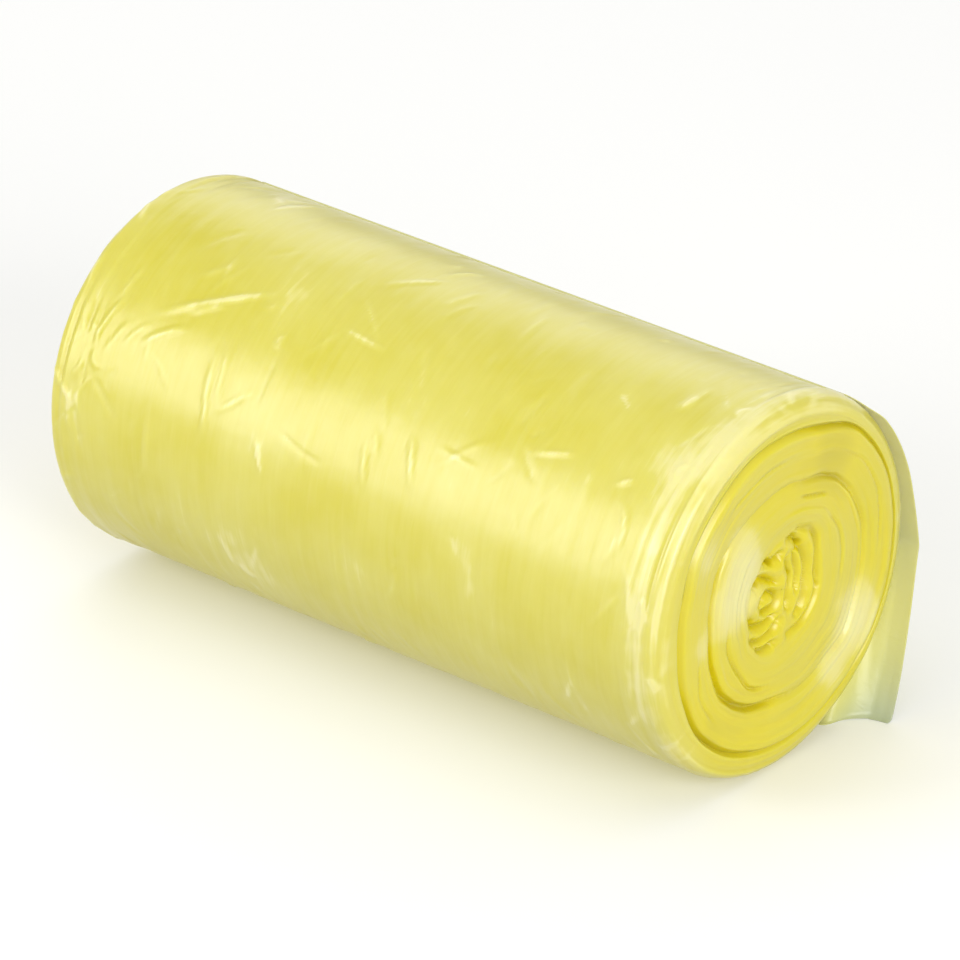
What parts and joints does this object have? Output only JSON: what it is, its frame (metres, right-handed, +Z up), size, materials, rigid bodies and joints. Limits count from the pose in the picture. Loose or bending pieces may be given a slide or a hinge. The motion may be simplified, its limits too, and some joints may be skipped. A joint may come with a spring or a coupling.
{
  "type": "roll of garbage bags",
  "caption": "Coreless roll of thin translucent yellow plastic garbage bags, folded lengthwise and wound up, with the free end of the last bag hanging loose behind it.",
  "frame": {"origin": "on the surface that the roll lies on, under the middle of the roll", "axes": "+X along the roll's axis, +Y towards the side where the free end hangs, +Z up"},
  "size_m": [0.1297, 0.0642, 0.0619],
  "materials": {
    "wound_film": "thin translucent yellow polyethylene film, wound in many layers, waxy gloss with soft creases",
    "loose_film": "a few layers of the same film hanging free, paler and see-through, with fine wrinkles"
  },
  "bodies": {
    "root": {"wound_bags": "wound_film", "loose_end": "loose_film"}
  },
  "joints": []
}
